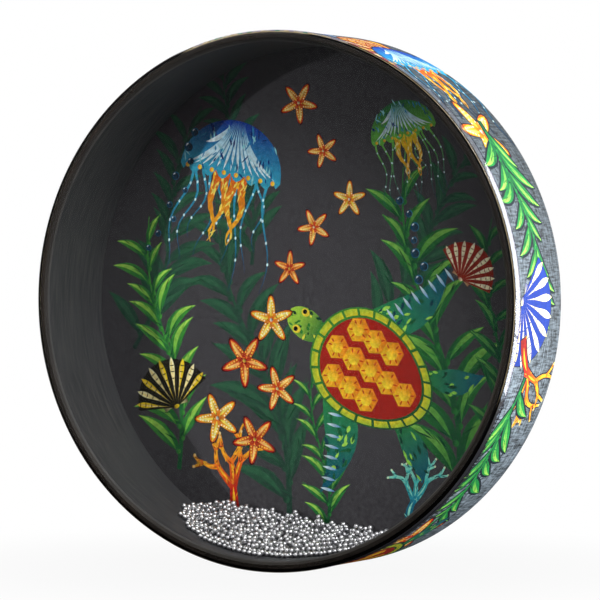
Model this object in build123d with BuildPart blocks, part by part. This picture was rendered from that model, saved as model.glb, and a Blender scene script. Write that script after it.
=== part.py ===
"""Ocean drum: a shallow frame drum with a clear head, a printed head and loose steel beads between them.

The drum stands on its rim. Its axis is Y, the clear head faces -Y, the printed head faces +Y and Z is up.
The origin is the centre of the drum.
"""

import os
from math import cos, floor, radians, sin, sqrt, tan

from build123d import *

# The drum as a whole
drum_diameter = 304.8  # over the printed wrap
drum_depth = 63.5  # over both heads

# Shell: a wood-fibre laminate hoop with bearing edges at both ends
shell_wall = 5.2
bearing_bevel = 2.2  # inner bevel of a bearing edge, at 45 degrees
edge_round = 1.5  # outer round-over of a bearing edge

# Heads: film discs formed down over the rim
clear_film = 0.25
printed_film = 0.3
clear_skirt = 7.0  # depth of the clear head's skirt, from its face
printed_skirt = 8.0
clear_bend = 1.0  # inside radius of the clear head's bend
bend_steps = 2  # straight steps in each bend, which keep these wide thin rings light

# Wrap and the thin layers that hold the films and the wrap
wrap_thickness = 0.6
bond_thickness = 0.1
wrap_seam = 0.6  # gap where the ends of the wrap meet
wrap_seam_turn = 205.0  # where the seam is, in degrees about Y from +X: high on the -X side
layer_gap = 0.2  # end gap between two glued layers that follow each other along the shell

# Beads: loose steel balls that lie in a heap on the inside of the shell
bead_diameter = 3.2
bead_gap = 0.3  # between neighbours
bead_running_gap = 0.25  # to the shell and to the printed head
heap_toe_gap = 10.0  # from the clear head to the toe of the heap
heap_toe_width = 26.0
heap_rear_width = 44.0
heap_slope = 9.0  # rise of the heap towards the printed head, in degrees
heap_end_slope = 34.0  # rise of its two ends along the shell, in degrees
heap_turn = -4.0  # middle of the heap, in degrees from the lowest point towards +X
bead_bands = 5  # groups of rows that run round the shell each at its own pace

# Radii, from the outside in
wrap_radius = drum_diameter / 2
wrap_inner_radius = wrap_radius - wrap_thickness
shell_radius = wrap_inner_radius - printed_film - bond_thickness
shell_inner_radius = shell_radius - shell_wall
clear_skirt_radius = wrap_radius + bond_thickness
printed_skirt_radius = shell_radius + bond_thickness

# Places along the axis
clear_face = -drum_depth / 2
printed_face = drum_depth / 2
shell_front = clear_face + clear_film
shell_rear = printed_face - printed_film
wrap_front = shell_front + clear_bend + layer_gap
wrap_rear = shell_rear - edge_round
clear_skirt_end = clear_face + clear_skirt
printed_skirt_end = printed_face - printed_skirt

# Half sections are drawn on the plane of the wrap's seam, so that all rings start there
half_section = Plane.XY.rotated((0, wrap_seam_turn, 0))


def bend(centre_radius, centre_y, radius, start, end):
    """Corners of a bend in the drum's section, from one angle to another in even steps."""
    angles = [radians(start + (end - start) * step / bend_steps) for step in range(bend_steps + 1)]
    return [(centre_radius + radius * cos(a), centre_y + radius * sin(a)) for a in angles]


def head_corners(inside_y, film, inner_radius, radius, skirt_end, outward):
    """Corners of a head's half section: the disc, the bend over the rim and the skirt."""
    centre_radius = inner_radius - radius
    centre_y = inside_y - outward * radius
    corners = [(0, inside_y)]
    corners += bend(centre_radius, centre_y, radius, 90 * outward, 0)
    corners += [(inner_radius, skirt_end), (inner_radius + film, skirt_end)]
    corners += bend(centre_radius, centre_y, radius + film, 0, 90 * outward)
    corners += [(0, inside_y + outward * film)]
    return corners


def ring_section(inner_radius, outer_radius, from_y, to_y):
    """Rectangle of a thin ring's half section, in the sketch that is open."""
    with Locations(((inner_radius + outer_radius) / 2, (from_y + to_y) / 2)):
        Rectangle(outer_radius - inner_radius, to_y - from_y)


os.makedirs("parts", exist_ok=True)

# Shell, with a bevelled and rounded bearing edge at each end
with BuildPart() as shell:
    with BuildSketch(half_section):
        with BuildLine():
            Polyline(
                (shell_inner_radius, shell_front + bearing_bevel),
                (shell_inner_radius + bearing_bevel, shell_front),
                *bend(shell_radius - edge_round, shell_front + edge_round, edge_round, -90, 0),
                *bend(shell_radius - edge_round, shell_rear - edge_round, edge_round, 0, 90),
                (shell_inner_radius + bearing_bevel, shell_rear),
                (shell_inner_radius, shell_rear - bearing_bevel),
                close=True,
            )
        make_face()
    revolve(axis=Axis.Y)
shell.part.label = "shell"
export_step(shell.part, "parts/shell.step")

# Printed head: goes on first, its skirt glued to the bare shell
with BuildPart() as printed_head:
    with BuildSketch(half_section):
        with BuildLine():
            Polyline(
                *head_corners(
                    shell_rear, printed_film, printed_skirt_radius, edge_round, printed_skirt_end, 1
                ),
                close=True,
            )
        make_face()
    revolve(axis=Axis.Y)
printed_head.part.label = "printed_head"
export_step(printed_head.part, "parts/printed_head.step")

# Glue between the shell and the printed head's skirt
with BuildPart() as printed_head_bond:
    with BuildSketch(half_section):
        ring_section(shell_radius, printed_skirt_radius, printed_skirt_end, wrap_rear)
    revolve(axis=Axis.Y)
printed_head_bond.part.label = "printed_head_bond"
export_step(printed_head_bond.part, "parts/printed_head_bond.step")

# Adhesive sheet that fills the rest of the shell's outside, level with the printed head's skirt
with BuildPart() as wrap_adhesive:
    with BuildSketch(half_section):
        ring_section(shell_radius, wrap_inner_radius, wrap_front, printed_skirt_end - layer_gap)
    revolve(axis=Axis.Y)
wrap_adhesive.part.label = "wrap_adhesive"
export_step(wrap_adhesive.part, "parts/wrap_adhesive.step")

# Printed cloth wrap: one strip round the drum, its two ends meeting in a butt seam
with BuildPart() as shell_wrap:
    with BuildSketch(half_section):
        ring_section(wrap_inner_radius, wrap_radius, wrap_front, wrap_rear)
    revolve(axis=Axis.Y, revolution_arc=360 - wrap_seam / radians(wrap_radius))
shell_wrap.part.label = "shell_wrap"
export_step(shell_wrap.part, "parts/shell_wrap.step")

# Clear head: goes on last, over the beads and the wrap
with BuildPart() as clear_head:
    with BuildSketch(half_section):
        with BuildLine():
            Polyline(
                *head_corners(
                    shell_front, clear_film, clear_skirt_radius, clear_bend, clear_skirt_end, -1
                ),
                close=True,
            )
        make_face()
    revolve(axis=Axis.Y)
clear_head.part.label = "clear_head"
export_step(clear_head.part, "parts/clear_head.step")

# Glue between the wrap and the clear head's skirt
with BuildPart() as clear_head_bond:
    with BuildSketch(half_section):
        ring_section(wrap_radius, clear_skirt_radius, wrap_front, clear_skirt_end)
    revolve(axis=Axis.Y)
clear_head_bond.part.label = "clear_head_bond"
export_step(clear_head_bond.part, "parts/clear_head_bond.step")

# One bead, drawn as a ball of sixteen flat faces whose corners lie on the bead's round surface: two poles,
# and four corners above and four below the middle, at the height that makes the slanted edges equal
bead_radius = bead_diameter / 2
corner_height = (sqrt(2) - 1) * bead_radius
corner_radius = sqrt(bead_radius**2 - corner_height**2)
bead_corners = [(0, 0, bead_radius), (0, 0, -bead_radius)]
for step in range(8):
    turn = radians(45 * step)
    height = corner_height if step % 2 else -corner_height
    bead_corners.append((corner_radius * cos(turn), corner_radius * sin(turn), height))

# The heap: rows across the drum from the printed head to the toe, in courses that follow the shell
bead_pitch = bead_diameter + bead_gap
course_rise = bead_pitch * sin(radians(60))
first_course_radius = shell_inner_radius - bead_radius - bead_running_gap
rear_row_y = shell_rear - bead_radius - bead_running_gap
heap_depth = rear_row_y - bead_radius - clear_face - heap_toe_gap
row_count = floor(heap_depth / bead_pitch) + 1
bead_turn = bead_pitch / radians(first_course_radius)
end_loss = course_rise / tan(radians(heap_end_slope)) / bead_pitch  # beads lost at an end of each course


def row_spots(row):
    """Places of the beads of one row, counted from the printed head."""
    y = rear_row_y - row * bead_pitch
    share = 1 - row / (row_count - 1)
    width = heap_toe_width + (heap_rear_width - heap_toe_width) * share
    height = share * heap_depth * tan(radians(heap_slope))
    spots = []
    for course in range(floor(height / course_rise) + 1):
        count = floor(width / bead_pitch - 2 * end_loss * course)
        radius = first_course_radius - course * course_rise
        stagger = 0.5 * ((course + row) % 2)  # a bead lies over the gap between two beads of the course below
        for place in range(count):
            angle = radians(heap_turn + (place - count // 2 + stagger) * bead_turn)
            spots.append((radius * sin(angle), y, -radius * cos(angle)))
    return spots


# Bead bands, counted from the clear head
for band in range(bead_bands):
    rows = [row for row in range(row_count) if (row_count - 1 - row) * bead_bands // row_count == band]
    with BuildPart() as bead_band:
        with Locations(*[spot for row in rows for spot in row_spots(row)]):
            ConvexPolyhedron(bead_corners)
    bead_band.part.label = f"bead_band_{band + 1}"
    export_step(bead_band.part, f"parts/bead_band_{band + 1}.step")
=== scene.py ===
from math import cos, log, pi, radians, sin

import bpy
import numpy as np
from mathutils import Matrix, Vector
from mathutils.geometry import delaunay_2d_cdt


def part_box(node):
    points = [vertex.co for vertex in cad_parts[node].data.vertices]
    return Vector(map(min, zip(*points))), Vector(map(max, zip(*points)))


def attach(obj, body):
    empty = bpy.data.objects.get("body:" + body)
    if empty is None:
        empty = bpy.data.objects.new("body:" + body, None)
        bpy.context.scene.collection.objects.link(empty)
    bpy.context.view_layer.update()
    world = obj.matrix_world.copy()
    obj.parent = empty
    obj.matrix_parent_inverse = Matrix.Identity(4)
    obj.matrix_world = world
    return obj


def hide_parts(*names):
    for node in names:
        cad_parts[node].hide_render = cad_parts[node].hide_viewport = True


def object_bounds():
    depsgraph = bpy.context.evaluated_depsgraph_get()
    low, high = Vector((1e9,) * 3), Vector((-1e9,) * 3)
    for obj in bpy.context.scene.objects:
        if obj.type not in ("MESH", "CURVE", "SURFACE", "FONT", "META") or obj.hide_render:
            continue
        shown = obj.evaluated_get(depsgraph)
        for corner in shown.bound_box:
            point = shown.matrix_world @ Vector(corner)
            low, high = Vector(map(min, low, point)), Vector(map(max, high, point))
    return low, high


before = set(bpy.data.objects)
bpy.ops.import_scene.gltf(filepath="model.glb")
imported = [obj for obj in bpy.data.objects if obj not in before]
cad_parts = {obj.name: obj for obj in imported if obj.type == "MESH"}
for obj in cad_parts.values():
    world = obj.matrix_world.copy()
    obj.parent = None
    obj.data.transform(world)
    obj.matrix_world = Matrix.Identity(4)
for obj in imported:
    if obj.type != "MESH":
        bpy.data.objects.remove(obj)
cad_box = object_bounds()


# Shell
# A shallow hoop of wood-fibre laminate, sealed with dark resin. Both ends are bevelled inside and rounded
# outside, so that each head bears on a narrow ring.
shell_low, shell_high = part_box("shell")
shell_radius = shell_high.x
shell_wall = 0.0052
shell_bore = shell_radius - shell_wall
shell_front = shell_low.y
shell_rear = shell_high.y
bearing_bevel = 0.0022
edge_round = 0.0015
# Width of the inner part of the front bevel that gets a lighter laminate, a painted highlight where that edge
# catches the light.
bevel_highlight_band = 0.0008
turn_steps = 288
round_points = 7


def round_over(centre_radius, centre_y, radius, start, end):
    """Points of a round in the drum's section, each a distance from the axis and a place along it."""
    angles = np.radians(np.linspace(start, end, round_points))
    return [(centre_radius + radius * cos(a), centre_y + radius * sin(a)) for a in angles]


def turned(section, closed):
    """Corners and faces of a section turned about the drum's axis, with a single corner on the axis."""
    angles = np.linspace(0, 2 * pi, turn_steps, endpoint=False)
    corners = []
    rings = []
    for radius, y in section:
        ring = [(radius * cos(a), y, radius * sin(a)) for a in (angles if radius > 0 else angles[:1])]
        rings.append(range(len(corners), len(corners) + len(ring)))
        corners += ring
    faces = []
    for near, far in zip(rings, rings[1:] + (rings[:1] if closed else [])):
        for step in range(turn_steps):
            after = (step + 1) % turn_steps
            near_side = near[step % len(near)], near[after % len(near)]
            far_side = far[after % len(far)], far[step % len(far)]
            faces.append(list(dict.fromkeys(near_side + far_side)))
    return corners, faces


def made(name, corners, faces, *finishes, crease=38):
    """Smooth mesh object that keeps edges sharper than the crease angle."""
    mesh = bpy.data.meshes.new(name)
    mesh.from_pydata(corners, [], faces)
    mesh.polygons.foreach_set("use_smooth", [True] * len(mesh.polygons))
    mesh.set_sharp_from_angle(angle=radians(crease))
    for finish in finishes:
        mesh.materials.append(finish)
    made_object = bpy.data.objects.new(name, mesh)
    bpy.context.scene.collection.objects.link(made_object)
    return made_object


def finish_steps(piece, steps):
    """Gives each step of a turned piece's section one of the piece's finishes, by its number."""
    piece.data.polygons.foreach_set("material_index", np.repeat(steps, turn_steps))


def node_tools(tree):
    """For a node tree, a function that adds a node and one that links an output to an input."""

    def node(kind, **settings):
        added = tree.nodes.new("ShaderNode" + kind)
        for key, value in settings.items():
            if hasattr(added, key):
                setattr(added, key, value)
            else:
                added.inputs[key.replace("_", " ")].default_value = value
        return added

    def link(source, output, target, socket):
        tree.links.new(source.outputs[output], target.inputs[socket])

    return node, link


def new_finish(name):
    """Empty finish: its material, its two node tools and its shader."""
    material = bpy.data.materials.new(name)
    material.use_nodes = True
    tree = material.node_tree
    return material, *node_tools(tree), tree.nodes["Principled BSDF"]


def colour_steps(node, *steps):
    """Colour ramp node with its stops, each a place and a colour."""
    ramp = node("ValToRGB")
    stops = ramp.color_ramp.elements
    stops[0].position, stops[0].color = steps[0][0], (*steps[0][1], 1)
    stops[1].position, stops[1].color = steps[-1][0], (*steps[-1][1], 1)
    for place, colour in steps[1:-1]:
        stops.new(place).color = (*colour, 1)
    return ramp


def laminate(name, dark, middle, light):
    """Wood-fibre laminate: fibres that run round the hoop, under a satin skin of resin."""
    material, node, link, shader = new_finish(name)
    place = node("TexCoord")
    stretch = node("Mapping", Scale=(50, 700, 50))
    fibres = node("TexNoise", Scale=1.0, Detail=5.0, Roughness=0.6)
    tones = colour_steps(node, (0.3, dark), (0.52, middle), (0.78, light))
    sheen = node("MapRange", To_Min=0.42, To_Max=0.66)
    relief = node("Bump", Strength=0.12, Distance=0.0002)
    link(place, "Object", stretch, "Vector")
    link(stretch, "Vector", fibres, "Vector")
    link(fibres, "Fac", tones, "Fac")
    link(tones, "Color", shader, "Base Color")
    link(fibres, "Fac", sheen, "Value")
    link(sheen, "Result", shader, "Roughness")
    link(fibres, "Fac", relief, "Height")
    link(relief, "Normal", shader, "Normal")
    shader.inputs["Specular IOR Level"].default_value = 0.16
    return material


shell_section = [
    *round_over(shell_radius - edge_round, shell_rear - edge_round, edge_round, 90, 0),
    *round_over(shell_radius - edge_round, shell_front + edge_round, edge_round, 0, -90),
    (shell_bore + bearing_bevel, shell_front),
    (shell_bore + bevel_highlight_band, shell_front + bearing_bevel - bevel_highlight_band),
    (shell_bore, shell_front + bearing_bevel),
    (shell_bore, shell_rear - bearing_bevel),
    (shell_bore + bearing_bevel, shell_rear),
]
shell = made(
    "shell_hoop",
    *turned(shell_section, closed=True),
    laminate("sealed_wall", (0.036, 0.038, 0.043), (0.066, 0.067, 0.072), (0.105, 0.104, 0.102)),
    laminate("sealed_bevel", (0.02, 0.018, 0.016), (0.028, 0.025, 0.022), (0.042, 0.036, 0.03)),
    # Lighter laminate on the inner part of the front bevel: a painted highlight, not wear.
    laminate("bevel_painted_highlight", (0.043, 0.042, 0.041), (0.064, 0.062, 0.061), (0.094, 0.087, 0.08)),
    laminate("sealed_crown", (0.008, 0.006, 0.005), (0.013, 0.01, 0.008), (0.024, 0.017, 0.012)),
)
finish_steps(shell, [*[3] * 6, 0, *[3] * 6, 3, 1, 2, 0, 1, 3])
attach(shell, "drum")
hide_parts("shell")


# Printed head
# A film disc with a fine weave, printed on the side that faces the beads. It is formed over the rear edge of
# the shell, and its skirt is glued to the shell under the wrap.
printed_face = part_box("printed_head")[1].y
printed_film = printed_face - shell_rear
printed_skirt_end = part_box("printed_head")[0].y
printed_skirt_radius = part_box("printed_head")[1].x - printed_film
printed_disc_radius = printed_skirt_radius - edge_round
print_black = "414043"
chance = np.random.default_rng(11)


def ink(code):
    """Linear colour of an ink, from its hex code."""
    share = np.array([int(code[place:place + 2], 16) for place in (0, 2, 4)]) / 255
    return np.where(share <= 0.04045, share / 12.92, ((share + 0.055) / 1.055) ** 2.4)


# A print is a list of patches. Its points are complex numbers: across is real and up is imaginary.
def patch(outline, first, last=None, start=None, end=None):
    """One area of a print: its outline, and two inks that run into each other from start to end."""
    outline = np.asarray(outline, complex)
    start = outline[0] if start is None else start
    end = outline[np.argmax(abs(outline - start))] if end is None else end
    return outline, ink(first), ink(last or first), start, end


def leaf(base, tip, width, bow=0.0, belly=0.5, points=9):
    """Outline of a leaf or a brush stroke, widest at the belly and bowed by a share of its length."""
    along = np.linspace(0, 1, points)
    middle = base + (tip - base) * (along + 4j * bow * along * (1 - along))
    tangent = (tip - base) * (1 + 4j * bow * (1 - 2 * along))
    side = 0.5j * width * np.sin(pi * along ** (log(0.5) / log(belly))) * tangent / abs(tangent)
    return np.concatenate([middle - side, (middle + side)[-2:0:-1]])


def oval(centre, length, width, points=20):
    """Outline of an upright oval."""
    angles = np.linspace(0, 2 * pi, points, endpoint=False)
    return centre + (length * np.cos(angles) + 1j * width * np.sin(angles)) / 2


def ribbon(path, widths):
    """Outline of a strip along a path."""
    path = np.asarray(path, complex)
    tangent = np.gradient(path)
    side = 0.5j * np.asarray(widths) * tangent / abs(tangent)
    return np.concatenate([path - side, (path + side)[::-1]])


def inside(outline, spots):
    """Which spots lie within an outline."""
    within = np.zeros(len(spots), bool)
    for a, b in zip(outline, np.roll(outline, -1)):
        rise = b.imag - a.imag or 1e-12
        crosses = (a.imag > spots.imag) != (b.imag > spots.imag)
        within ^= crosses & (spots.real < a.real + (spots.imag - a.imag) / rise * (b.real - a.real))
    return within


def brushed(outline, inks, count, length, width, turn, spread):
    """Short brush strokes scattered within an outline, all about one way."""
    low = complex(outline.real.min(), outline.imag.min())
    size = complex(np.ptp(outline.real), np.ptp(outline.imag))
    spots = low + size.real * chance.random(count * 3) + 1j * size.imag * chance.random(count * 3)
    strokes = []
    for spot in spots[inside(outline, spots)][:count]:
        reach = length * chance.uniform(0.5, 1.2) * np.exp(1j * radians(turn + chance.normal(0, spread)))
        stroke = leaf(spot - reach / 2, spot + reach / 2, width * chance.uniform(0.6, 1.2), points=5)
        strokes.append(patch(stroke, inks[chance.integers(len(inks))]))
    return strokes


def turtle():
    """Sea turtle from above, one unit long, that heads along the real axis."""
    parts = []
    for side in (1, -1):
        def flip(point):
            return complex(point.real, point.imag * side)
        front = leaf(flip(0.2 + 0.2j), flip(-0.1 + 0.72j), 0.2, 0.2 * side, 0.4, 13)
        rear = leaf(flip(-0.27 + 0.17j), flip(-0.58 + 0.34j), 0.14, 0.14 * side, 0.5)
        parts.append(patch(front, "2f8f3f", "12506e"))
        parts += brushed(front, ("9fdc55", "1a5a34", "123f4c"), 34, 0.055, 0.022, 100 * side, 30)
        for share in np.linspace(0.15, 0.95, 9):
            root = flip(0.2 + 0.2j) + share * (flip(-0.1 + 0.72j) - flip(0.2 + 0.2j)) - 0.05 * (1 - share)
            parts.append(patch(leaf(root, root + flip(-0.085 - 0.03j), 0.016), "dff2ee", "3f8fd0"))
        parts.append(patch(rear, "2b7a3a", "175a72"))
        parts += brushed(rear, ("8ed24c", "123f2c"), 14, 0.05, 0.018, 150 * side, 20)
    head = oval(0.45, 0.25, 0.165)
    parts.append(patch(head, "1d6a35", "a9d645", 0.34, 0.56))
    parts += brushed(head, ("e4e04a", "2f7d35", "0d3a24"), 26, 0.034, 0.016, 0, 40)
    for side in (1, -1):
        parts.append(patch(oval(0.485 + 0.052j * side, 0.05, 0.042), "f3d53a"))
        parts.append(patch(oval(0.49 + 0.054j * side, 0.026, 0.026), "0b0b0d"))
    angles = np.linspace(0, 2 * pi, 44, endpoint=False)
    rim = 0.39 * np.cos(angles) + 0.295j * np.sin(angles) * (1 + 0.16 * np.cos(angles)) - 0.02
    parts.append(patch(rim, "17482c", "3f8a35", -0.4 + 0.2j, 0.4 - 0.2j))
    for step in range(0, 44, 2):
        edge = [rim[step], rim[(step + 1) % 44], rim[(step + 2) % 44]]
        plate = [0.985 * p for p in edge] + [0.86 * p for p in edge[::-1]]
        middle = sum(plate) / 6
        plate = [middle + 0.84 * (p - middle) for p in plate]
        parts.append(patch(plate, "f0d42a", "8fbf3a", middle * 0.88, middle * 1.1))
    shield = 0.83 * rim
    parts.append(patch(shield, "a3231a"))
    rows = [(0.0, 0.118, 5), (0.145, 0.118, 4), (-0.145, 0.118, 4), (0.232, 0.1, 2), (-0.232, 0.1, 2)]
    for lift, pitch, count in rows:
        for place in range(count):
            centre = complex((place - (count - 1) / 2) * pitch - 0.01, lift)
            scute = centre + np.exp(1j * np.radians(np.arange(0, 360, 60) + 30)) * 0.07
            scute = scute[inside(shield, scute)] if not inside(shield, scute).all() else scute
            if len(scute) < 5:
                continue
            parts.append(patch(scute, "e8791c", "f4c52a", centre - 0.05 - 0.05j, centre + 0.05 + 0.05j))
            core = centre + 0.52 * (scute - centre)
            parts.append(patch(core, "f7df3a", "f0a324", centre + 0.03j, centre - 0.03j))
            for ray in range(6):
                aim = np.exp(1j * radians(60 * ray + 30 + chance.normal(0, 8)))
                parts.append(patch(leaf(centre + 0.03 * aim, centre + 0.06 * aim, 0.009, points=5), "c43d1c"))
    return parts


def jellyfish(top, rim, frill):
    """Jellyfish about one unit tall, with its bell at the top."""
    parts = []
    for place in np.linspace(-0.27, 0.27, 10):
        drop = np.linspace(0, 1, 12)
        reach = chance.uniform(0.42, 0.72)
        sway = 0.035 * np.sin(drop * chance.uniform(5, 9) + chance.uniform(0, 6))
        path = place * (1 + 0.25 * drop) + sway + 1j * (0.13 - reach * drop)
        parts.append(patch(ribbon(path, 0.017 * (1.1 - drop)), rim, "123a66"))
        for bead in path[2:10:2]:
            parts.append(patch(oval(bead, 0.014, 0.02, points=6), "cfeff2"))
    for place in (-0.1, -0.03, 0.05, 0.12):
        drop = np.linspace(0, 1, 14)
        sway = 0.05 * np.sin(drop * 7 + place * 40)
        path = 0.8 * place + sway * drop + 1j * (0.12 - 0.42 * drop)
        arm = ribbon(path, 0.06 * (1.05 - drop) * (1 + 0.35 * np.sin(drop * 40)))
        parts.append(patch(arm, frill[0], frill[1]))
        parts += brushed(arm, (frill[1], frill[2]), 16, 0.05, 0.012, 80, 25)
    sweep = np.linspace(0, pi, 21)
    dome = 0.34 * np.cos(sweep) + 1j * (0.12 + 0.31 * np.sin(sweep))
    across = np.linspace(-0.34, 0.34, 29)[1:-1]
    hem = across + 1j * (0.12 - 0.045 * abs(np.sin(across / 0.34 * 3.5 * pi)))
    bell = np.concatenate([dome, hem])
    parts.append(patch(bell, top, rim, 0.4j, 0.1j))
    for place in np.linspace(-0.3, 0.3, 13):
        bow = -0.35 * place
        rib = leaf(0.12 * place + 0.42j, place + 0.13j, 0.018, bow, 0.65)
        parts.append(patch(rib, "7fc9e8", "e6f6f4"))
    parts += brushed(bell, ("15306f", "2f86b8", "8fd6dc"), 60, 0.06, 0.012, 95, 25)
    for place in np.linspace(-0.29, 0.29, 8):
        parts.append(patch(oval(place + 0.115j, 0.03, 0.03, points=8), "f2e34a", "f08a24"))
    parts.append(patch(leaf(-0.2 + 0.27j, -0.06 + 0.385j, 0.03, -0.12), "f4fbfa", "a9dcec"))
    return parts


def sea_star(tip, heart, spots):
    """Five-armed sea star, one unit across."""
    angles = np.linspace(0, 2 * pi, 60, endpoint=False)
    outline = (0.17 + 0.33 * (0.5 + 0.5 * np.cos(5 * angles)) ** 1.5) * np.exp(1j * angles)
    parts = [patch(outline, "3a0d0b"), patch(0.93 * outline, heart)]
    for arm in range(5):
        aim = np.exp(1j * radians(72 * arm))
        limb = leaf(-0.02 * aim, 0.45 * aim, 0.17, 0.0, 0.42)
        parts.append(patch(limb, heart, tip, 0.05 * aim, 0.38 * aim))
        parts.append(patch(leaf(0.05 * aim, 0.42 * aim, 0.05, 0.05, 0.4), tip, "f8f0a0"))
        for row in (-1, 1):
            for share in np.linspace(0.14, 0.36, 5):
                spot = aim * (share + 0.19j * row * (0.46 - share))
                parts.append(patch(oval(spot, 0.03, 0.03, points=7), spots))
    parts += brushed(0.3 * outline, ("5a1512", tip), 12, 0.06, 0.016, 40, 80)
    parts.append(patch(oval(0, 0.07, 0.07, points=10), "2c0a0a", spots))
    return parts


def scallop(light, dark):
    """Scallop shell, one unit across, with its hinge at the bottom."""
    hinge = -0.4j
    sweep = np.radians(np.linspace(18, 162, 19))
    reach = 0.86 - 0.1 * abs(np.cos(sweep)) ** 2
    edge = hinge + reach * np.exp(1j * sweep)
    parts = []
    for side in (1, -1):
        ear = [hinge + 0.05j, hinge + side * 0.24, hinge + side * 0.26 + 0.13j, hinge + 0.2j]
        parts.append(patch(ear, "e8dfa4", dark))
    parts.append(patch(np.concatenate([[hinge], edge]), dark))
    for place in range(9):
        aim = np.exp(1j * sweep[2 * place + 1])
        tip = hinge + (reach[2 * place + 1] + 0.035) * aim
        rib = leaf(hinge + 0.06 * aim, tip, 0.096, 0.0, 0.78, 12)
        glint = leaf(hinge + 0.2 * aim, 0.98 * tip, 0.022, 0.02, 0.7)
        parts.append(patch(rib, light, "fbf6c8" if place % 2 else light))
        parts.append(patch(glint, "fffbe6", light))
        for band in (0.38, 0.52, 0.64, 0.75):
            cross = hinge + band * aim
            turn = 1j * aim * 0.04 * band / 0.5
            parts.append(patch(leaf(cross - turn, cross + turn, 0.02, 0.14, points=5), dark))
    parts.append(patch(oval(hinge + 0.02j, 0.12, 0.07, points=12), light, dark))
    return parts


def coral(inks):
    """Branching coral, one unit tall, that grows up from the origin."""
    parts = []

    def branch(base, angle, length, width, level):
        bow = chance.normal(0, 0.08)
        along = np.linspace(0, 1, 7)
        tip = base + length * np.exp(1j * angle)
        path = base + (tip - base) * (along + 4j * bow * along * (1 - along))
        limb = ribbon(path, width * (1 - 0.4 * along))
        parts.append(patch(limb, inks[min(level, 2)], inks[min(level + 1, 3)]))
        parts.append(patch(leaf(path[1] + 0.2j * width, path[-1], 0.25 * width, bow), inks[3]))
        parts.extend(brushed(limb, (inks[0], inks[3]), 6, 0.05, 0.008, np.degrees(angle), 20))
        if level == 3:
            parts.append(patch(oval(tip, 0.8 * width, 0.8 * width, points=9), "fbe9b0", inks[3]))
            return
        for lean in (-1, 1) if level else (-1, 0, 1):
            turn = angle + radians(lean * chance.uniform(22, 38))
            branch(path[-1], turn, length * chance.uniform(0.62, 0.82), width * 0.68, level + 1)

    branch(0, pi / 2, 0.3, 0.1, 0)
    return parts


def kelp(deep, bright, lean, pairs=9, glint="b9ea62"):
    """Leafy kelp, one unit tall, that grows up from the origin."""
    along = np.linspace(0, 1, 24)
    stem = lean * along + 0.04 * np.sin(6 * along) + 1j * along
    parts = [patch(ribbon(stem, 0.016 * (1.2 - along)), deep, bright)]
    for place in range(2 * pairs):
        share = 0.06 + 0.88 * place / (2 * pairs)
        base = np.interp(share, along, stem.real) + 1j * share
        side = 1 if place % 2 else -1
        reach = (0.26 - 0.13 * share) * chance.uniform(0.8, 1.15)
        tip = base + reach * np.exp(1j * (pi / 2 - side * radians(chance.uniform(34, 58))))
        bow = side * chance.uniform(0.06, 0.16)
        blade = leaf(base, tip, 0.24 * reach, bow, 0.45, 11)
        vein = leaf(base + 0.1 * (tip - base), tip, 0.09 * reach, bow * 1.25, 0.5)
        way = np.degrees(np.angle(tip - base))
        parts.append(patch(blade, deep, bright))
        parts.append(patch(vein, bright, glint))
        parts += brushed(blade, (deep, bright, "0d3a22"), 7, 0.3 * reach, 0.02 * reach, way, 10)
        parts.append(patch(oval(base + 0.05 * (tip - base), 0.022, 0.022, points=9), bright, deep))
    return parts


def bubble():
    """Air bubble, one unit across."""
    return [
        patch(oval(0, 1, 1, points=18), "2f7fae", "123c5c"),
        patch(oval(0.03 - 0.03j, 0.8, 0.8, points=18), "22282f", "1d4a66"),
        patch(leaf(-0.3 + 0.1j, -0.02 + 0.34j, 0.14, 0.15), "eaf7fa"),
    ]


def stamp(motif, place, size, turn=0.0):
    """Patches of a motif at its place and size on a print."""
    grown = size * np.exp(1j * radians(turn))
    stamped = []
    for outline, first, last, start, end in motif:
        stamped.append((place + outline * grown, first, last, place + start * grown, place + end * grown))
    return stamped


def cut_print(ground, patches, ground_ink, lines=()):
    """Triangles of a printed area, cut along the outlines of its patches, with the ink at each corner.

    The ink's last number is one on a motif and none on the bare ground.
    """
    unit = 1000
    join_within = 1e-5
    whole_hull = 0
    outlines = [ground, *[outline for outline, *_ in patches]]
    spots = []
    rings = []
    for outline in outlines:
        after = np.roll(outline, -1)
        if (outline.real * after.imag - outline.imag * after.real).sum() < 0:
            outline = outline[::-1]
        rings.append(list(range(len(spots), len(spots) + len(outline))))
        spots += [Vector((p.real * unit, p.imag * unit)) for p in outline]
    creases = []
    for start, end in lines:
        creases.append((len(spots), len(spots) + 1))
        spots += [Vector((p.real * unit, p.imag * unit)) for p in (start, end)]
    found, _, triangles, _, _, sources = delaunay_2d_cdt(spots, creases, rings, whole_hull, join_within, True)
    points = np.array([complex(p.x, p.y) for p in found]) / unit
    kept = [(list(t), max(s)) for t, s in zip(triangles, sources) if 0 in s]
    used = sorted({corner for triangle, _ in kept for corner in triangle})
    renamed = {corner: place for place, corner in enumerate(used)}
    points = points[used]
    kept = [([renamed[corner] for corner in triangle], top) for triangle, top in kept]
    inks = np.tile([*ground_ink, 0.0], (3 * len(kept), 1))
    for place, (triangle, top) in enumerate(kept):
        if top > 0:
            _, first, last, start, end = patches[top - 1]
            run = end - start
            share = np.clip(((points[triangle] - start) * run.conjugate()).real / abs(run) ** 2, 0, 1)
            inks[3 * place:3 * place + 3, :3] = first + share[:, None] * (last - first)
            inks[3 * place:3 * place + 3, 3] = 1.0
    return points, [triangle for triangle, _ in kept], inks


def ink_corners(piece, inks):
    """Stores the inks of a print at the corners of a piece's faces."""
    store = piece.data.color_attributes.new("inks", "FLOAT_COLOR", "CORNER")
    store.data.foreach_set("color", inks.astype(np.float32).ravel())


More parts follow.
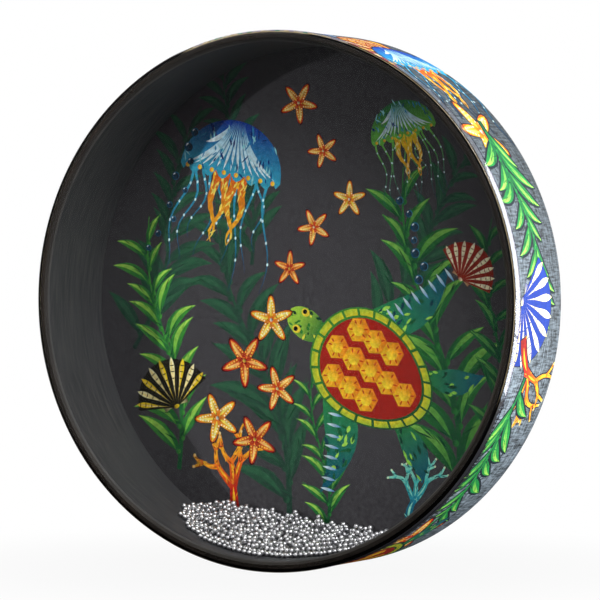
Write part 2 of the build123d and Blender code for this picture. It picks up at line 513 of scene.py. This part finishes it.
head_print = []
for spot, size, turn in (
    (-0.02 - 0.13j, 0.2, 18), (0.03 - 0.02j, 0.14, -30),
    (-0.125 - 0.03j, 0.15, -14), (-0.045 + 0.02j, 0.13, 12),
):
    head_print += stamp(kelp("243f34", "28543c", 0.08, 10, "326446"), spot, size, turn)
for motif, spot, size, turn in (
    (kelp("1a5a34", "48a238", 0.12), -0.094 - 0.101j, 0.15, 14),
    (kelp("14452c", "2f7f36", -0.1, 9, "86c254"), 0.088 - 0.112j, 0.19, 4),
    (kelp("14452c", "2f8a3c", 0.1, 7), 0.004 - 0.138j, 0.1, 10),
    (kelp("123f2c", "246c38", -0.15, 8, "5fa04a"), 0.112 - 0.085j, 0.13, -8),
    (coral(("7a1512", "c22a1c", "ea6a1e", "f7b52a")), -0.055 - 0.132j, 0.074, 6),
    (coral(("0f4a5c", "1f7f9a", "37b3b0", "8fe0c8")), 0.058 - 0.131j, 0.056, -8),
    (turtle(), 0.032 - 0.04j, 0.108, 148),
    (jellyfish("1b3f9a", "39a6c4", ("d8581c", "f2b82a", "f8e36a")), -0.062 + 0.062j, 0.1, -12),
    (jellyfish("2a6a3c", "6fbf4a", ("f2d22a", "f0a324", "fff0a0")), 0.056 + 0.088j, 0.062, 16),
    (scallop("f2d21f", "17140c"), -0.101 - 0.052j, 0.034, 24),
    (scallop("f2e9c0", "8e2417"), 0.096 + 0.02j, 0.026, -40),
):
    head_print += stamp(motif, spot, size, turn)
star_inks = (("f4b52a", "c8301c", "fff2b0"), ("f6dc3a", "e0701c", "fffbe0"), ("f08a2a", "a81f1a", "fbd75a"))
star_places = (
    -0.004 + 0.042j, 0.019 + 0.058j, -0.02 + 0.018j, 0.002 + 0.086j, -0.032 - 0.012j,
    -0.05 - 0.036j, -0.028 - 0.052j, -0.068 - 0.07j, -0.043 - 0.082j, -0.014 + 0.114j,
)
for count, spot in enumerate(star_places):
    size = (0.021 if spot.imag > 0 else 0.028) + 0.006 * chance.random()
    head_print += stamp(sea_star(*star_inks[count % 3]), spot, size, 72 * chance.random())
for rise in range(9):
    spot = -0.112 + 0.03j + rise * (0.004 + 0.0085j) + 0.004 * chance.normal()
    head_print += stamp(bubble(), spot, 0.0035 + 0.004 * chance.random())
for rise in range(7):
    spot = 0.066 + 0.012j + rise * (-0.002 + 0.0075j) + 0.003 * chance.normal()
    head_print += stamp(bubble(), spot, 0.003 + 0.003 * chance.random())


def printed_weave(name, relief_depth, thread, dark_thread, roughness):
    """Ink on a fine weave: the print's own inks, mottled by the brush and by the threads."""
    material, node, link, shader = new_finish(name)
    inks = node("VertexColor", layer_name="inks")
    place = node("TexCoord")
    brush = node("TexNoise", Scale=420.0, Detail=4.0, Roughness=0.65)
    brush_tone = node("MapRange", From_Min=0.3, From_Max=0.7, To_Min=0.68, To_Max=1.25)
    painted = node("Mix", data_type="RGBA", blend_type="MULTIPLY", Factor=1.0)
    link(place, "Object", brush, "Vector")
    link(brush, "Fac", brush_tone, "Value")
    link(inks, "Color", painted, "A")
    link(brush_tone, "Result", painted, "B")
    crossing = node("Math", operation="MULTIPLY")
    for way, axis in enumerate("XZ"):
        threads = node("TexWave", bands_direction=axis, Scale=thread, Distortion=1.2, Detail=1.0)
        link(place, "Object", threads, "Vector")
        link(threads, "Fac", crossing, way)
    thread_tone = node("MapRange", To_Min=dark_thread, To_Max=1.06)
    woven = node("Mix", data_type="RGBA", blend_type="MULTIPLY", Factor=1.0)
    relief = node("Bump", Strength=0.35, Distance=relief_depth)
    link(crossing, "Value", thread_tone, "Value")
    link(painted, "Result", woven, "A")
    link(thread_tone, "Result", woven, "B")
    link(woven, "Result", shader, "Base Color")
    link(crossing, "Value", relief, "Height")
    link(relief, "Normal", shader, "Normal")
    shader.inputs["Roughness"].default_value = roughness
    shader.inputs["Specular IOR Level"].default_value = 0.12
    return material


printed_section = [
    (0, printed_face),
    *round_over(printed_disc_radius, shell_rear - edge_round, edge_round + printed_film, 90, 0),
    (printed_skirt_radius + printed_film, printed_skirt_end),
    (printed_skirt_radius, printed_skirt_end),
    *round_over(printed_disc_radius, shell_rear - edge_round, edge_round, 0, 90),
]
head_corners, head_faces = turned(printed_section, closed=False)
rim_first = len(head_corners) - turn_steps
rim_match = 1e-6
head_edge = np.array([complex(x, z) for x, _, z in head_corners[rim_first:]])
print_points, print_triangles, print_inks = cut_print(head_edge, head_print, ink(print_black))
print_index = []
for point in print_points:
    nearest = int(abs(head_edge - point).argmin())
    if abs(head_edge[nearest] - point) < rim_match:
        print_index.append(rim_first + nearest)
    else:
        print_index.append(len(head_corners))
        head_corners.append((point.real, shell_rear, point.imag))
plain_corners = sum(len(face) for face in head_faces)
head_faces += [[print_index[corner] for corner in triangle] for triangle in print_triangles]
printed_finish = printed_weave("printed_weave", 0.00008, 520.0, 0.86, 0.62)
printed_head = made("printed_film_head", head_corners, head_faces, printed_finish)
ink_corners(printed_head, np.vstack([np.tile([*ink(print_black), 0.0], (plain_corners, 1)), print_inks]))
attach(printed_head, "drum")
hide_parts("printed_head")


# Glue under the wrap
# A thin ring of set adhesive holds the printed head's skirt, and a sheet of it holds the wrap. Both lie
# between the shell and the wrap, where only their edges could show.
def set_adhesive():
    """Clear yellowish adhesive with the cloudy patches that a roller leaves."""
    material, node, link, shader = new_finish("set_adhesive")
    place = node("TexCoord")
    cloud = node("TexNoise", Scale=90.0, Detail=3.0)
    tones = colour_steps(node, (0.35, (0.5, 0.38, 0.19)), (0.7, (0.78, 0.64, 0.38)))
    link(place, "Object", cloud, "Vector")
    link(cloud, "Fac", tones, "Fac")
    link(tones, "Color", shader, "Base Color")
    shader.inputs["Roughness"].default_value = 0.4
    return material


adhesive_finish = set_adhesive()
for node_name in ("printed_head_bond", "wrap_adhesive"):
    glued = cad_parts[node_name]
    glued.data.materials.clear()
    glued.data.materials.append(adhesive_finish)


# Wrap
# A strip of grey linen with large printed motifs, glued round the shell over the printed head's skirt. Its
# ends meet in a butt seam high on the left side.
wrap_low, wrap_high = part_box("shell_wrap")
wrap_radius = wrap_high.x
wrap_thickness = 0.0006
wrap_seam = 0.0006
wrap_seam_angle = radians(155)
wrap_length = 2 * pi * wrap_radius - wrap_seam
wrap_columns = 320
linen_grey = "5e6870"
linen_cut = "5a4a34"
# Light tints for the cut edges along the top of the drum, a painted highlight; lower down the cut edge keeps
# the dark linen_cut colour.
top_edge_highlight = ("e6d2b4", "b7a9c0", "4f9478", "cfc4b8", "e0c79a")
highlight_height = 0.144
least_outlined = 0.003
# Turn round the drum of the painted light and shade on the bare linen.
painted_light_turn = radians(400)
sealer_run = 0.03
sealer_foot = -0.15
sealer_head = -0.05


def wrap_corner(point, radius):
    """Place on the drum of a point of the unrolled strip."""
    angle = wrap_seam_angle - (point.real + wrap_seam / 2) / wrap_radius
    return radius * cos(angle), point.imag, radius * sin(angle)


def outlined(motif, margin, code):
    """A motif over a dark outline of its larger patches."""
    rims = []
    for outline, *_ in motif:
        after = np.roll(outline, -1)
        along = after - np.roll(outline, 1)
        area = (outline.real * after.imag - outline.imag * after.real).sum() / 2
        if abs(area) > least_outlined:
            rims.append(patch(outline - 1j * np.sign(area) * margin * along / (abs(along) + 1e-9), code))
    return rims + motif


def centred(motif):
    """A motif with its middle at the origin."""
    reach = np.concatenate([outline for outline, *_ in motif])
    middle = complex(reach.real.max() + reach.real.min(), reach.imag.max() + reach.imag.min()) / 2
    return stamp(motif, -middle, 1.0)


wrap_motifs = (
    (kelp("0b6b3a", "27b04a", 0.1, 8), 0.125, 94),
    (sea_star("ffc21a", "d8260f", "fff6c0"), 0.052, 20),
    (turtle(), 0.098, 200),
    (coral(("0f2f8a", "1a55c8", "2fa0d8", "c8f4f4")), 0.074, 62),
    (scallop("ffd21a", "a8180c"), 0.048, 130),
    (jellyfish("1436b0", "28a8d8", ("e8480c", "ffb81a", "fff07a")), 0.09, 82),
    (sea_star("fff03a", "f0700c", "fffde8"), 0.05, 50),
    (kelp("0a5a34", "1f9a44", -0.12, 9), 0.13, -98),
    (scallop("fff0b8", "163a9c"), 0.046, -30),
    (coral(("8a100c", "dc2412", "ff7a10", "ffc828")), 0.072, -58),
)
wrap_print = []
wrap_middle = (wrap_low.y + wrap_high.y) / 2
wrap_rounds = 2
pace = wrap_length / (wrap_rounds * sum(size for _, size, _ in wrap_motifs))
along_strip = 0.0
for count in range(wrap_rounds * len(wrap_motifs)):
    motif, size, turn = wrap_motifs[count % len(wrap_motifs)]
    spot = complex(along_strip + size * pace / 2, wrap_middle + chance.uniform(-0.009, 0.009))
    turn += 180 * (count // len(wrap_motifs))
    wrap_print += stamp(outlined(centred(motif), 0.012, "0c1a26"), spot, size, turn)
    along_strip += size * pace
strip = np.array([
    complex(0, wrap_low.y), complex(wrap_length, wrap_low.y),
    complex(wrap_length, wrap_high.y), complex(0, wrap_high.y),
])
columns = np.linspace(0, wrap_length, wrap_columns + 1)[1:-1]
column_lines = [(complex(u, wrap_low.y), complex(u, wrap_high.y)) for u in columns]
strip_points, strip_triangles, strip_inks = cut_print(strip, wrap_print, ink(linen_grey), column_lines)
wrap_corners = [wrap_corner(p, wrap_radius) for p in strip_points]
wrap_corners += [wrap_corner(p, wrap_radius - wrap_thickness) for p in strip_points]
lift = len(strip_points)
edge_uses = {}
for a, b, c in strip_triangles:
    for start, end in ((a, b), (b, c), (c, a)):
        edge_uses[start, end] = True
open_edges = [(start, end) for start, end in edge_uses if (end, start) not in edge_uses]
wrap_faces = strip_triangles + [[c + lift, b + lift, a + lift] for a, b, c in strip_triangles]
wrap_faces += [[end, start, start + lift, end + lift] for start, end in open_edges]


def printed_linen():
    """Linen with slubs along its threads both ways, printed in strong inks that hide most of the threads.

    Dark edge sealer has run ragged over its front edge, further down towards the bottom of the drum.
    """
    material, node, link, shader = new_finish("printed_linen")
    inks = node("VertexColor", layer_name="inks")
    strip_place = node("Attribute", attribute_name="strip")
    threads = node("Math", operation="ADD")
    for way, scale in enumerate(((110, 750, 1), (750, 110, 1))):
        stretch = node("Mapping", Scale=scale)
        slubs = node("TexNoise", Scale=1.0, Detail=4.0, Roughness=0.65)
        link(strip_place, "Vector", stretch, "Vector")
        link(stretch, "Vector", slubs, "Vector")
        link(slubs, "Fac", threads, way)
    bare = node("MapRange", From_Min=0.84, From_Max=1.2, To_Min=0.15, To_Max=2.1)
    inked = node("MapRange", From_Min=0.72, From_Max=1.28, To_Min=0.72, To_Max=1.22)
    shade = node("Mix", data_type="FLOAT")
    across = node("SeparateXYZ")
    # Bare linen made darker towards the rear edge of the drum.
    rear_darkening = node("MapRange", From_Min=wrap_low.y, From_Max=wrap_high.y, To_Min=1.25, To_Max=0.65)
    # Painted light and shade on the bare linen, twice round the drum: darkest high on the right and low on
    # the left, lightest low on the right and high on the left.
    twice_round = node("MapRange", clamp=False, From_Max=wrap_radius, To_Min=-painted_light_turn, To_Max=2 - painted_light_turn)
    swing = node("Math", operation="COSINE")
    painted_light_level = node("MapRange", From_Min=-1.0, To_Min=0.55, To_Max=1.5)
    toned = node("Math", operation="MULTIPLY")
    bare_with_painted_light = node("Math", operation="MULTIPLY")
    woven = node("Mix", data_type="RGBA", blend_type="MULTIPLY", Factor=1.0)
    relief = node("Bump", Strength=0.4, Distance=0.00015)
    link(threads, "Value", bare, "Value")
    link(threads, "Value", inked, "Value")
    link(inks, "Alpha", shade, "Factor")
    link(strip_place, "Vector", across, "Vector")
    link(across, "Y", rear_darkening, "Value")
    link(bare, "Result", toned, 0)
    link(rear_darkening, "Result", toned, 1)
    link(across, "X", twice_round, "Value")
    link(twice_round, "Result", swing, 0)
    link(swing, "Value", painted_light_level, "Value")
    link(toned, "Value", bare_with_painted_light, 0)
    link(painted_light_level, "Result", bare_with_painted_light, 1)
    link(bare_with_painted_light, "Value", shade, "A")
    link(inked, "Result", shade, "B")
    link(inks, "Color", woven, "A")
    link(shade, "Result", woven, "B")
    link(threads, "Value", relief, "Height")
    link(relief, "Normal", shader, "Normal")
    place = node("TexCoord")
    height = node("SeparateXYZ")
    fibres = node("Mapping", Scale=(700, 150, 700))
    runs = node("TexNoise", Scale=1.0, Detail=4.0, Roughness=0.7)
    spread = node("MapRange", From_Min=wrap_low.y, From_Max=wrap_low.y + sealer_run, To_Min=0.2, To_Max=-1.0)
    sagged = node("MapRange", From_Min=sealer_foot, From_Max=sealer_head, To_Min=0.5, To_Max=0.05)
    stopped = node("MapRange", From_Min=-0.053, From_Max=-0.048, To_Max=-0.8)
    covered = node("MapRange", From_Min=0.53, From_Max=0.6)
    sealed = node("Mix", data_type="RGBA", B=(0.008, 0.009, 0.014, 1))
    link(place, "Object", fibres, "Vector")
    link(place, "Object", height, "Vector")
    link(fibres, "Vector", runs, "Vector")
    link(across, "Y", spread, "Value")
    link(height, "Z", sagged, "Value")
    link(height, "Z", stopped, "Value")
    run_reach = runs, "Fac"
    for share in (spread, sagged, stopped):
        more = node("Math", operation="ADD")
        link(*run_reach, more, 0)
        link(share, "Result", more, 1)
        run_reach = more, "Value"
    link(*run_reach, covered, "Value")
    link(covered, "Result", sealed, "Factor")
    link(woven, "Result", sealed, "A")
    link(sealed, "Result", shader, "Base Color")
    shader.inputs["Roughness"].default_value = 0.75
    shader.inputs["Specular IOR Level"].default_value = 0.12
    return material


shell_wrap = made("linen_wrap", wrap_corners, wrap_faces, printed_linen())
back_inks = np.tile([*ink(linen_grey), 0.0], (len(strip_inks), 1))
edge_inks = np.tile([*ink(linen_cut), 1.0], (4 * len(open_edges), 1))
for place, (start, _) in enumerate(open_edges):
    # Painted highlight: cut edges high on the drum take light cream, lavender and green tints.
    if wrap_corners[start][2] > highlight_height:
        edge_inks[4 * place:4 * place + 4, :3] = ink(top_edge_highlight[place % len(top_edge_highlight)])
ink_corners(shell_wrap, np.vstack([strip_inks, back_inks, edge_inks]))
strip_store = shell_wrap.data.attributes.new("strip", "FLOAT_VECTOR", "POINT")
strip_places = np.column_stack([strip_points.real, strip_points.imag, np.zeros(lift)])
strip_store.data.foreach_set("vector", np.vstack([strip_places, strip_places]).astype(np.float32).ravel())
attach(shell_wrap, "drum")
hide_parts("shell_wrap")


# Beads
# Over a thousand polished steel balls lie loose on the inside of the shell, heaped against the printed head.
# Each band of them keeps to its own slice of the drum, so that the bands can run past each other.
bead_radius = 0.0016
bead_bands = 5
bead_clearance = 0.00006
bead_spacing = 2.07 * bead_radius
bead_unevenness = 0.015
course_rise = 1.65 * bead_radius
heap_toe = -0.0252
heap_left = -0.084
heap_right = 0.06
heap_back = 0.0295
heap_height = -0.1262
heap_lean = 0.12
heap_courses = 9
first_roll = 0.0006
last_roll = 0.00002
band_boxes = [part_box(f"bead_band_{band}") for band in range(1, bead_bands + 1)]
band_walls = [(near[1].y + far[0].y) / 2 for near, far in zip(band_boxes, band_boxes[1:])]
band_walls = [heap_toe, *band_walls, shell_rear]


def heap_top(x, y):
    """Height that the heap fills to, which falls from the printed head to the toe and from left to right."""
    fall = 0.44 + 2.6 * x
    ragged = 0.0011 * np.sin(410 * x + 1.3) + 0.0009 * np.sin(760 * x) + 0.0006 * np.sin(900 * y + 300 * x)
    return heap_height - heap_lean * x - fall * (heap_back - y) + ragged * np.clip(0.5 + 16 * y, 0.1, 1)


def resting_height(x, y, beads):
    """Height of a bead's centre when it is let down at each of some places onto the shell and other beads."""
    bore = shell_bore - bead_radius - bead_clearance
    height = -np.sqrt(bore**2 - x**2)
    if len(beads):
        apart = (x[:, None] - beads[:, 0]) ** 2 + (y[:, None] - beads[:, 1]) ** 2
        reach = (2 * bead_radius) ** 2 - apart
        over = np.where(reach > 0, beads[:, 2] + np.sqrt(np.maximum(reach, 0)), -1.0)
        height = np.maximum(height, over.max(axis=1))
    return height


def rolled_to_rest(x, y, low_y, high_y, beads):
    """Place where a bead comes to rest when it is let down at a spot and rolls to the nearest hollow."""
    turns = np.radians(np.arange(0, 360, 45))
    height = resting_height(np.array([x]), np.array([y]), beads)[0]
    step = first_roll
    while step > last_roll:
        around_x = x + step * np.cos(turns)
        around_y = np.clip(y + step * np.sin(turns), low_y, high_y)
        heights = resting_height(around_x, around_y, beads)
        lowest = heights.argmin()
        if heights[lowest] < height - 1e-7:
            x, y, height = around_x[lowest], around_y[lowest], heights[lowest]
        else:
            step /= 2
    return x, y, height


def heaped_band(low_y, high_y):
    """Centres of the beads of one band: rows along the shell, and courses let down over them one by one."""
    low_y += bead_radius + bead_clearance
    high_y -= bead_radius + bead_clearance
    bore = shell_bore - bead_radius - bead_clearance
    rows = np.linspace(low_y, high_y, 3)
    half_row = (rows[1] - rows[0]) / 2
    beads = np.empty((0, 3))
    for course in range(heap_courses):
        for row, y in enumerate(rows if course % 2 == 0 else rows - half_row * np.array([-1, 0.7, 1])):
            radius = bore - course_rise * course
            step = bead_spacing / radius
            angles = np.arange(heap_left / bore, heap_right / bore, step) + step * (row + course) % 2 / 2
            for angle in angles + chance.normal(0, bead_unevenness * step, len(angles)):
                bead = radius * sin(angle), y, -radius * cos(angle)
                if bead[2] > heap_top(bead[0], y) + bead_radius:
                    continue
                if course:
                    bead = rolled_to_rest(bead[0], y, low_y, high_y, beads)
                if bead[2] < heap_top(bead[0], bead[1]):
                    beads = np.vstack([beads, bead])
    return beads


def polished_steel():
    """Polished bearing steel, each bead a little brighter or duller than the next."""
    material, node, link, shader = new_finish("polished_steel")
    each = node("NewGeometry")
    tones = colour_steps(node, (0.0, (0.44, 0.44, 0.46)), (1.0, (0.7, 0.7, 0.71)))
    place = node("TexCoord")
    smear = node("TexNoise", Scale=700.0, Detail=2.0)
    polish = node("MapRange", To_Min=0.28, To_Max=0.44)
    link(each, "Random Per Island", tones, "Fac")
    link(tones, "Color", shader, "Base Color")
    link(place, "Object", smear, "Vector")
    link(smear, "Fac", polish, "Value")
    link(polish, "Result", shader, "Roughness")
    shader.inputs["Metallic"].default_value = 1.0
    return material


ball_slices = 12
ball_rings = 8
ball_corners = [(0, 0, 1)]
for ring in range(1, ball_rings):
    tilt = pi * ring / ball_rings
    for place in range(ball_slices):
        turn = 2 * pi * place / ball_slices
        ball_corners.append((sin(tilt) * cos(turn), sin(tilt) * sin(turn), cos(tilt)))
ball_corners.append((0, 0, -1))
ball_faces = []
for place in range(ball_slices):
    after = (place + 1) % ball_slices
    ball_faces.append([0, 1 + place, 1 + after])
    for ring in range(ball_rings - 2):
        top = 1 + ring * ball_slices
        ball_faces.append([top + place, top + ball_slices + place, top + ball_slices + after, top + after])
    bottom = 1 + (ball_rings - 2) * ball_slices
    ball_faces.append([bottom + place, len(ball_corners) - 1, bottom + after])
ball = bead_radius * np.array(ball_corners)
steel_finish = polished_steel()
for band in range(1, bead_bands + 1):
    centres = heaped_band(band_walls[band - 1], band_walls[band])
    band_corners = (centres[:, None, :] + ball).reshape(-1, 3)
    band_faces = []
    for bead in range(len(centres)):
        band_faces += [[corner + len(ball) * bead for corner in face] for face in ball_faces]
    beads = made(f"steel_beads_{band}", band_corners, band_faces, steel_finish, crease=80)
    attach(beads, f"beads_{band}")
    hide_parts(f"bead_band_{band}")


# Clear head
# A disc of clear polyester film, heat-formed over the front edge of the shell. Its glossy skirt goes over
# the wrap and is held by a thin ring of clear glue. Dark edge sealer and painted shade tint its bend; the
# tint clears at the top and upper right, where the cut edges beneath are painted light.
clear_low, clear_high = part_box("clear_head")
clear_film = shell_front - clear_low.y
clear_skirt_radius = clear_high.x - clear_film
clear_bend = 0.001
clear_disc_radius = clear_skirt_radius - clear_bend
clear_skirt_end = clear_high.y
seal_radius = clear_disc_radius - 0.0006
skirt_edge = 0.0008


def clear_polyester(name, facing_gloss, grazing_gloss, passed, sealer_and_shade=None):
    """Clear film: light passes, and a thin gloss with faint scuffs lies over it, stronger along the film.

    A tint of dark edge sealer and painted shade is the colour that passes there, the way in which the film
    clears, and how far that way from the drum's axis the tint begins to thin and has gone.
    """
    material, node, link, shader = new_finish(name)
    tree = material.node_tree
    tree.nodes.remove(shader)
    place = node("TexCoord")
    scuffs = node("TexNoise", Scale=60.0, Detail=6.0)
    dulled = node("MapRange", To_Min=0.02, To_Max=0.1)
    gloss = node("BsdfGlossy", Color=(0.96, 0.96, 1, 1))
    through = node("BsdfTransparent", Color=(*passed, 1))
    along = node("LayerWeight", Blend=0.5)
    share = node("MapRange", From_Min=0.15, To_Min=facing_gloss, To_Max=grazing_gloss)
    film = node("MixShader")
    link(place, "Object", scuffs, "Vector")
    link(scuffs, "Fac", dulled, "Value")
    link(dulled, "Result", gloss, "Roughness")
    link(along, "Facing", share, "Value")
    link(share, "Result", film, "Fac")
    link(through, "BSDF", film, 1)
    link(gloss, "BSDF", film, 2)
    link(film, "Shader", tree.nodes["Material Output"], "Surface")
    if sealer_and_shade:
        sealer_shade_colour, clear_way, thins_at, gone_at = sealer_and_shade
        far = node("VectorMath", operation="DOT_PRODUCT")
        far.inputs[1].default_value = clear_way
        cleared = node("MapRange", From_Min=thins_at, From_Max=gone_at)
        tint = node("Mix", data_type="RGBA", A=(*sealer_shade_colour, 1), B=(*passed, 1))
        link(place, "Object", far, 0)
        link(far, "Value", cleared, "Value")
        link(cleared, "Result", tint, "Factor")
        link(tint, "Result", through, "Color")
    return material


clear_section = [
    (0, shell_front),
    (seal_radius, shell_front),
    *round_over(clear_disc_radius, shell_front + clear_bend, clear_bend, -90, 0),
    (clear_skirt_radius, clear_skirt_end),
    (clear_skirt_radius + clear_film, clear_skirt_end),
    (clear_skirt_radius + clear_film, clear_skirt_end - skirt_edge),
    *round_over(clear_disc_radius, shell_front + clear_bend, clear_bend + clear_film, 0, -90),
    (seal_radius, clear_low.y),
    (0, clear_low.y),
]
# Tints of dark edge sealer and painted shade on the bend: dark on the left and at the bottom, clearing at the
# top and, for the rest of the bend, over the upper right.
sealer_shade_at_top = (0.06, 0.055, 0.05), (-0.1, 0, 1), 0.1455, 0.1475
sealer_shade_at_right = (0.12, 0.1, 0.08), (0.695, 0, 0.719), 0.055, 0.066
clear_head = made(
    "clear_film_head",
    *turned(clear_section, closed=False),
    clear_polyester("clear_face", 0.003, 0.2, (0.985, 0.985, 0.985)),
    clear_polyester("sealer_and_shade_bend", 0.008, 0.03, (0.95, 0.95, 0.95), sealer_shade_at_top),
    clear_polyester("clear_bend", 0.012, 0.03, (0.95, 0.95, 0.95), sealer_shade_at_right),
    clear_polyester("clear_skirt", 0.07, 0.08, (0.97, 0.97, 0.98)),
    clear_polyester("clear_cut", 0.01, 0.03, (0.5, 0.46, 0.56)),
)
finish_steps(clear_head, [0, 1, 1, *[2] * 5, 3, 4, 4, 3, *[2] * 5, 1, 1, 0])
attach(clear_head, "drum")
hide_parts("clear_head")

glue_low, glue_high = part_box("clear_head_bond")
glue_skin = 0.00002
glue_section = [
    (glue_high.x - glue_skin, glue_high.y),
    (glue_high.x - glue_skin, glue_low.y),
    (wrap_radius + glue_skin, glue_low.y),
    (wrap_radius + glue_skin, glue_high.y),
]


def skirt_glue():
    """Clear glue with faint cloudy patches."""
    material, node, link, shader = new_finish("skirt_glue")
    place = node("TexCoord")
    cloud = node("TexNoise", Scale=90.0, Detail=3.0)
    haze = node("MapRange", From_Min=0.5, From_Max=0.8, To_Max=0.08)
    clear = node("BsdfTransparent")
    mixed = node("MixShader")
    link(place, "Object", cloud, "Vector")
    link(cloud, "Fac", haze, "Value")
    link(haze, "Result", mixed, "Fac")
    link(clear, "BSDF", mixed, 1)
    link(shader, "BSDF", mixed, 2)
    link(mixed, "Shader", material.node_tree.nodes["Material Output"], "Surface")
    shader.inputs["Base Color"].default_value = (0.6, 0.58, 0.5, 1)
    shader.inputs["Roughness"].default_value = 0.4
    return material


skirt_bond = made("skirt_glue_ring", *turned(glue_section, closed=True), skirt_glue())
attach(skirt_bond, "drum")
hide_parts("clear_head_bond")


# Floor and light
# A white studio floor under the rim, an even white surround, a narrow lamp in front on the left that throws
# the rim's shadow on the printed head, panels round the drum, and a round card on the floor behind it.
floor_reach = 30.0
floor_z = cad_box[0].z
white_rays = "Is Camera Ray", "Is Glossy Ray", "Is Transmission Ray"
floor_mesh = bpy.data.meshes.new("floor")
floor_mesh.from_pydata(
    [(x * floor_reach, y * floor_reach, floor_z) for x, y in ((-1, -1), (1, -1), (1, 1), (-1, 1))],
    [],
    [(0, 1, 2, 3)],
)
floor = bpy.data.objects.new("floor", floor_mesh)
bpy.context.scene.collection.objects.link(floor)


def seen_by(node, link, *kinds):
    """Node and output that give one where a ray is of one of some kinds, and none elsewhere."""
    path = node("LightPath")
    found = path, kinds[0]
    for kind in kinds[1:]:
        either = node("Math", operation="MAXIMUM")
        link(*found, either, 0)
        link(path, kind, either, 1)
        found = either, "Value"
    return found


def studio_floor():
    """White floor with a painted soft shadow near the drum, over the faint real shadow on its board, that
    runs out to plain white.
    """
    material, node, link, shader = new_finish("studio_floor")
    tree = material.node_tree
    tree.nodes.remove(shader)
    board = node("BsdfDiffuse", Color=(0.08, 0.08, 0.08, 1))
    glow = node("Emission", Strength=1.0)
    lift = node("MixShader")
    place = node("TexCoord")
    away = node("VectorMath", operation="LENGTH")
    # Painted shadow: seen by the camera, the floor darkens a little towards the drum whatever the light.
    painted_shadow_fade = node("MapRange", From_Min=0.14, From_Max=0.36, To_Min=0.93, interpolation_type="SMOOTHSTEP")
    # Painted shadow in reflections: glossy rays see the dark board near the drum, going to white further off.
    reflected_painted_shadow = node("MapRange", From_Min=0.25, From_Max=1.2, interpolation_type="SMOOTHSTEP")
    whiteness = node("Mix", data_type="FLOAT")
    shown = node("Math", operation="MULTIPLY")
    link(place, "Object", away, 0)
    link(away, "Value", painted_shadow_fade, "Value")
    link(away, "Value", reflected_painted_shadow, "Value")
    link(*seen_by(node, link, "Is Glossy Ray"), whiteness, "Factor")
    link(painted_shadow_fade, "Result", whiteness, "A")
    link(reflected_painted_shadow, "Result", whiteness, "B")
    link(whiteness, "Result", shown, 0)
    link(*seen_by(node, link, *white_rays), shown, 1)
    link(shown, "Value", lift, "Fac")
    link(board, "BSDF", lift, 1)
    link(glow, "Emission", lift, 2)
    link(lift, "Shader", tree.nodes["Material Output"], "Surface")
    return material


floor_mesh.materials.append(studio_floor())

surround = bpy.data.worlds.new("white_surround")
surround.use_nodes = True
bpy.context.scene.world = surround
surround_fill = 0.035
surround_node, surround_link = node_tools(surround.node_tree)
surround_level = surround_node("MapRange", To_Min=surround_fill, To_Max=1.0)
surround_shader = surround.node_tree.nodes["Background"]
surround_shader.inputs["Color"].default_value = (1, 1, 1, 1)
surround_link(*seen_by(surround_node, surround_link, *white_rays), surround_level, "Value")
surround_link(surround_level, "Result", surround_shader, "Strength")


def lamp(name, kind, azimuth, elevation, distance, power, aim=(0, 0, 0)):
    """Lamp that faces its aim; azimuth 0 is in front of the drum and grows to the right."""
    a, e = radians(azimuth), radians(elevation)
    place = distance * Vector((sin(a) * cos(e), -cos(a) * cos(e), sin(e)))
    added = bpy.data.objects.new(name, bpy.data.lights.new(name, kind))
    added.data.energy = power
    added.location = place
    added.rotation_euler = (Vector(aim) - place).to_track_quat("-Z", "Y").to_euler()
    added.visible_camera = False
    bpy.context.scene.collection.objects.link(added)
    return added


def panel(name, azimuth, elevation, distance, width, height, power):
    """Lamp with a wide flat front."""
    added = lamp(name, "AREA", azimuth, elevation, distance, power)
    added.data.shape = "RECTANGLE"
    added.data.size = width
    added.data.size_y = height


beam = lamp("front_lamp", "SPOT", -32.1, 3.1, 6.0, 860, (-0.087, shell_rear, -0.017))
beam.data.spot_size = radians(4.4)
beam.data.spot_blend = 1.0
beam.data.shadow_soft_size = 0.08
beam.visible_glossy = False
panel("fill_panel", 45, 42, 1.6, 0.8, 0.8, 24)
panel("left_panel", -55, 45, 1.5, 0.3, 0.3, 2)
panel("rear_panel", 140, 5, 1.1, 1.4, 0.9, 22)
panel("low_panel", 100, -3, 1.3, 1.2, 0.14, 14)
card = lamp("floor_card", "AREA", 141.4, -12.3, 0.69, 5.3)
card.rotation_euler = (pi, 0, 0)
card.data.shape = "DISK"
card.data.size = 0.63
panel("back_panel", -125, 25, 1.6, 0.9, 0.9, 12)


# Camera
# Level with the drum's middle and to its right, far enough away for little perspective.
view_azimuth = radians(28.1108)
view_elevation = radians(0.9842)
view_distance = 1.99029
camera_data = bpy.data.cameras.new("camera")
camera_data.lens = 209.45
camera_data.sensor_width = 36
camera_data.shift_x = 0.0094
camera_data.shift_y = 0.0009
camera = bpy.data.objects.new("camera", camera_data)
camera.location = view_distance * Vector((
    sin(view_azimuth) * cos(view_elevation),
    -cos(view_azimuth) * cos(view_elevation),
    sin(view_elevation),
))
camera.rotation_mode = "QUATERNION"
camera.rotation_quaternion = (-camera.location).to_track_quat("-Z", "Y")
bpy.context.scene.collection.objects.link(camera)
bpy.context.scene.camera = camera
bpy.context.scene.view_settings.view_transform = "Standard"
